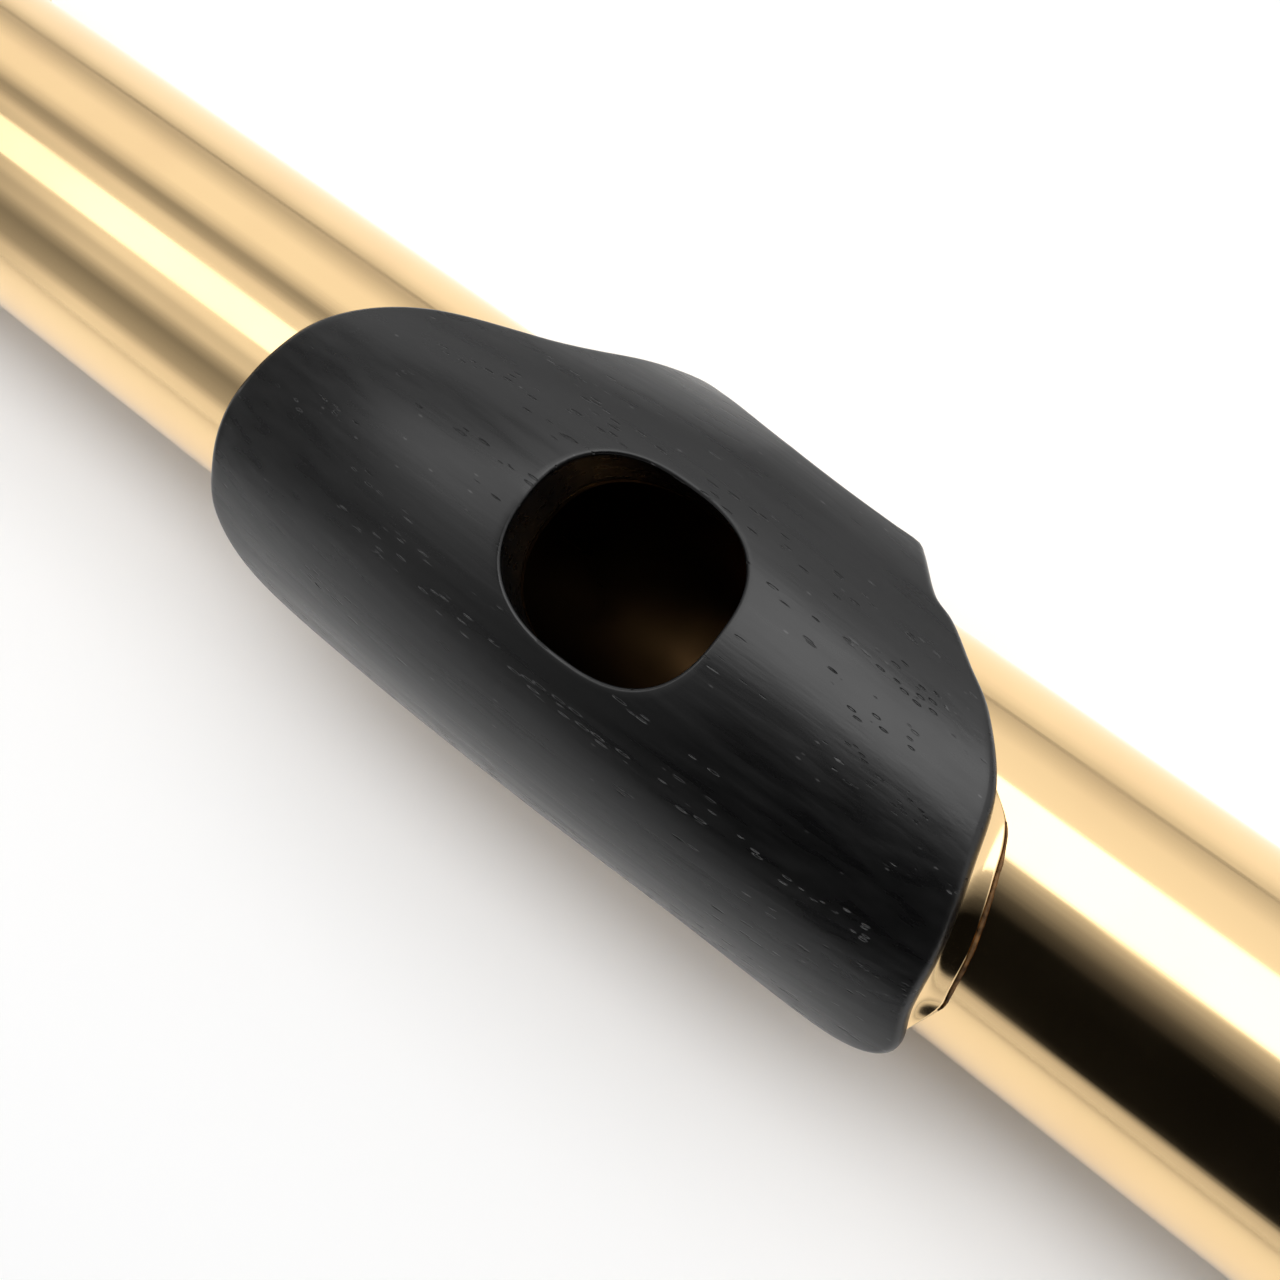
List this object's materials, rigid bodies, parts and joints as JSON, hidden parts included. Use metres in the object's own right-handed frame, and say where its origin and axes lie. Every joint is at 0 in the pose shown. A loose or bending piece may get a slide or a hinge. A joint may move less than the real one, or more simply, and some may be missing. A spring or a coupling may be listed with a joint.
{
  "type": "flute head joint",
  "caption": "Tapered gold flute head joint with a domed grenadilla lip plate and embouchure hole on a gold saddle, a screw crown and a sliding cork stopper.",
  "frame": {"origin": "centre of the crown's flat end face, on the tube's axis", "axes": "+X along the tube to the tenon, +Z out of the embouchure hole, -Y towards the player's chin"},
  "size_m": [0.227, 0.0237, 0.0239],
  "materials": {
    "gold": "polished pale gold with fine drawing lines along the tube",
    "brass": "plain turned brass",
    "grenadilla": "oiled black wood, matt, with fine open pores along the grain",
    "cork": "natural cork bark"
  },
  "bodies": {
    "tube": {"head_tube": "gold", "riser": "gold", "lip_plate_saddle": "gold", "lip_plate": "grenadilla"},
    "crown": {"crown_cap": "gold", "crown_bush": "brass"},
    "stopper": {"stopper_rod": "brass", "stopper_back_plate": "brass", "stopper_cork": "cork", "stopper_face_plate": "gold"}
  },
  "joints": [
    {"name": "crown_turn", "type": "hinge", "parent": "tube", "child": "crown", "pos_m": [0, 0, 0], "axis": [1, 0, 0], "range_deg": [-720, 720]},
    {"name": "stopper_slide", "type": "slide", "parent": "tube", "child": "stopper", "axis": [1, 0, 0], "range_m": [-0.0016, 0.0016]}
  ],
  "couplings": [
    {"joint": "crown_turn", "follows": "stopper_slide", "rad_per_m": -7853.9}
  ]
}
